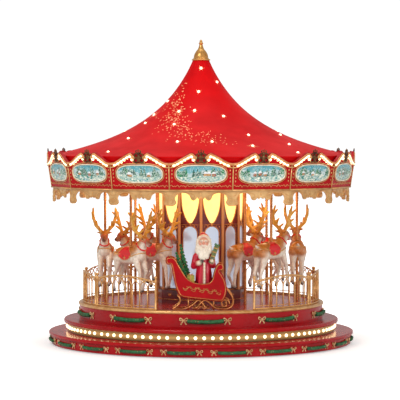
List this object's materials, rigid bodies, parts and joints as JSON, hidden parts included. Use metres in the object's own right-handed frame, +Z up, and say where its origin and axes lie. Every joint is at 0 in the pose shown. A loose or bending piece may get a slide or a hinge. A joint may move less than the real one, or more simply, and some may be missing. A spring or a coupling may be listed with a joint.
{
  "type": "wind-up carousel toy",
  "caption": "Table-top carousel: stepped round base, fenced turntable with reindeer on poles and a sleigh, mirrored column, lamp-lit boards and a concave tent roof with finial.",
  "frame": {"origin": "centre of the footprint, at the bottom of the rubber feet, on the table's surface", "axes": "+Z up along the turntable's axis, -Y towards the front, where the fence is open and the sleigh stands; +X to the viewer's right, the way that the sleigh travels when it passes the front"},
  "size_m": [0.3078, 0.3078, 0.3025],
  "materials": {
    "red_lacquer": "gloss",
    "deck_red": "gloss",
    "roof_red": "satin",
    "gold_trim": "gloss",
    "fence_gold": "satin",
    "crest_gold": "satin",
    "pan_tin": "satin",
    "feet_rubber": "matte",
    "steel": "satin",
    "spring_steel": "satin",
    "gear_brass": "satin",
    "key_steel": "gloss",
    "cam_plastic": "satin",
    "black_plastic": "matte",
    "cell_wrap": "gloss",
    "board_green": "satin",
    "lamp_warm": "gloss",
    "light_pane": "satin",
    "mirror_glass": "gloss",
    "column_red": "satin",
    "ceiling_gold": "satin",
    "board_paint": "gloss",
    "valance_gold": "satin",
    "pine_green": "matte",
    "bow_cream": "satin",
    "sleigh_red": "gloss",
    "figure_paint": "satin",
    "load_paint": "satin",
    "reindeer_tan": "satin"
  },
  "bodies": {
    "base": {"base_pan": "pan_tin", "rubber_feet": "feet_rubber", "pan_screws": "steel", "lower_tier": "red_lacquer", "middle_tier": "red_lacquer", "upper_tier": "red_lacquer", "deck_rim": "gold_trim", "band_lamps": "lamp_warm", "tier_garlands": "pine_green", "tier_bows": "bow_cream", "fence_panels": "fence_gold", "fence_posts": "fence_gold", "cam_rings": "cam_plastic", "plate_lower": "steel", "plate_upper": "steel", "plate_pillars": "gear_brass", "battery_box": "black_plastic", "battery_cells": "cell_wrap", "switch_body": "black_plastic", "lamp_circuit": "board_green"},
    "turntable": {"turntable_hub": "steel", "mainspring_barrel": "gear_brass", "mainspring": "spring_steel", "slip_rings": "gear_brass", "turntable_deck": "deck_red", "column_core": "column_red", "column_mirrors": "mirror_glass", "column_lights": "light_pane", "ceiling_plate": "ceiling_gold", "roof_mast": "steel", "roof_shell": "roof_red", "roof_lamps": "lamp_warm", "finial": "gold_trim", "rounding_boards": "board_paint", "crest_ornaments": "crest_gold", "board_lamps": "lamp_warm", "valance": "valance_gold", "sleigh_body": "sleigh_red", "sleigh_runners": "gold_trim", "driver_figure": "figure_paint", "sleigh_load": "load_paint"},
    "winding": {"winding_key": "key_steel", "winding_arbor": "steel", "ratchet_wheel": "steel"},
    "click": {"click_pawl": "steel"},
    "second_arbor": {"second_wheel": "gear_brass"},
    "fly": {"governor_fly": "gear_brass"},
    "switch": {"switch_slider": "black_plastic"},
    "battery_cover": {"battery_door": "black_plastic"},
    "reindeer_outer_left_front": {"reindeer_outer_left_front": "reindeer_tan"},
    "reindeer_outer_left": {"reindeer_outer_left": "reindeer_tan"},
    "reindeer_outer_left_rear": {"reindeer_outer_left_rear": "reindeer_tan"},
    "reindeer_outer_rear": {"reindeer_outer_rear": "reindeer_tan"},
    "reindeer_outer_right_rear": {"reindeer_outer_right_rear": "reindeer_tan"},
    "reindeer_outer_right": {"reindeer_outer_right": "reindeer_tan"},
    "reindeer_outer_right_front": {"reindeer_outer_right_front": "reindeer_tan"},
    "reindeer_inner_left_front": {"reindeer_inner_left_front": "reindeer_tan"},
    "reindeer_inner_left_rear": {"reindeer_inner_left_rear": "reindeer_tan"},
    "reindeer_inner_right_rear": {"reindeer_inner_right_rear": "reindeer_tan"},
    "reindeer_inner_right_front": {"reindeer_inner_right_front": "reindeer_tan"}
  },
  "joints": [
    {"name": "turntable_spin", "type": "hinge", "parent": "base", "child": "turntable", "pos_m": [0, 0, 0.035], "axis": [0, 0, 1], "continuous": true},
    {"name": "key_wind", "type": "hinge", "parent": "base", "child": "winding", "pos_m": [0, 0, 0.01], "axis": [0, 0, 1], "continuous": true},
    {"name": "click_pivot", "type": "hinge", "parent": "base", "child": "click", "pos_m": [0.012, 0.0085, 0.0155], "axis": [0, 0, -1], "range_deg": [0, 14]},
    {"name": "second_spin", "type": "hinge", "parent": "base", "child": "second_arbor", "pos_m": [0, 0.032, 0.023], "axis": [0, 0, 1], "continuous": true},
    {"name": "fly_spin", "type": "hinge", "parent": "base", "child": "fly", "pos_m": [0.0192, 0.03539, 0.023], "axis": [0, 0, 1], "continuous": true},
    {"name": "switch_slide", "type": "slide", "parent": "base", "child": "switch", "axis": [0.9994, 0.0349, 0], "range_m": [0, 0.002]},
    {"name": "battery_door_slide", "type": "slide", "parent": "base", "child": "battery_cover", "axis": [0, 0, -1], "range_m": [0, 0.02]},
    {"name": "rise_outer_left_front", "type": "slide", "parent": "turntable", "child": "reindeer_outer_left_front", "axis": [0, 0, 1], "range_m": [-0.003, 0.005]},
    {"name": "rise_outer_left", "type": "slide", "parent": "turntable", "child": "reindeer_outer_left", "axis": [0, 0, 1], "range_m": [-0.004, 0.004]},
    {"name": "rise_outer_left_rear", "type": "slide", "parent": "turntable", "child": "reindeer_outer_left_rear", "axis": [0, 0, 1], "range_m": [-0.0005, 0.0075]},
    {"name": "rise_outer_rear", "type": "slide", "parent": "turntable", "child": "reindeer_outer_rear", "axis": [0, 0, 1], "range_m": [-0.002, 0.006]},
    {"name": "rise_outer_right_rear", "type": "slide", "parent": "turntable", "child": "reindeer_outer_right_rear", "axis": [0, 0, 1], "range_m": [-0.0045, 0.0035]},
    {"name": "rise_outer_right", "type": "slide", "parent": "turntable", "child": "reindeer_outer_right", "axis": [0, 0, 1], "range_m": [-0.006, 0.002]},
    {"name": "rise_outer_right_front", "type": "slide", "parent": "turntable", "child": "reindeer_outer_right_front", "axis": [0, 0, 1], "range_m": [-0.0075, 0.0005]},
    {"name": "rise_inner_left_front", "type": "slide", "parent": "turntable", "child": "reindeer_inner_left_front", "axis": [0, 0, 1], "range_m": [-0.0045, 0.0035]},
    {"name": "rise_inner_left_rear", "type": "slide", "parent": "turntable", "child": "reindeer_inner_left_rear", "axis": [0, 0, 1], "range_m": [-0.006, 0.002]},
    {"name": "rise_inner_right_rear", "type": "slide", "parent": "turntable", "child": "reindeer_inner_right_rear", "axis": [0, 0, 1], "range_m": [-0.0025, 0.0055]},
    {"name": "rise_inner_right_front", "type": "slide", "parent": "turntable", "child": "reindeer_inner_right_front", "axis": [0, 0, 1], "range_m": [-0.005, 0.003]}
  ],
  "couplings": [
    {"joint": "second_spin", "follows": "turntable_spin", "ratio": -4.3333},
    {"joint": "fly_spin", "follows": "turntable_spin", "ratio": 23.833}
  ]
}
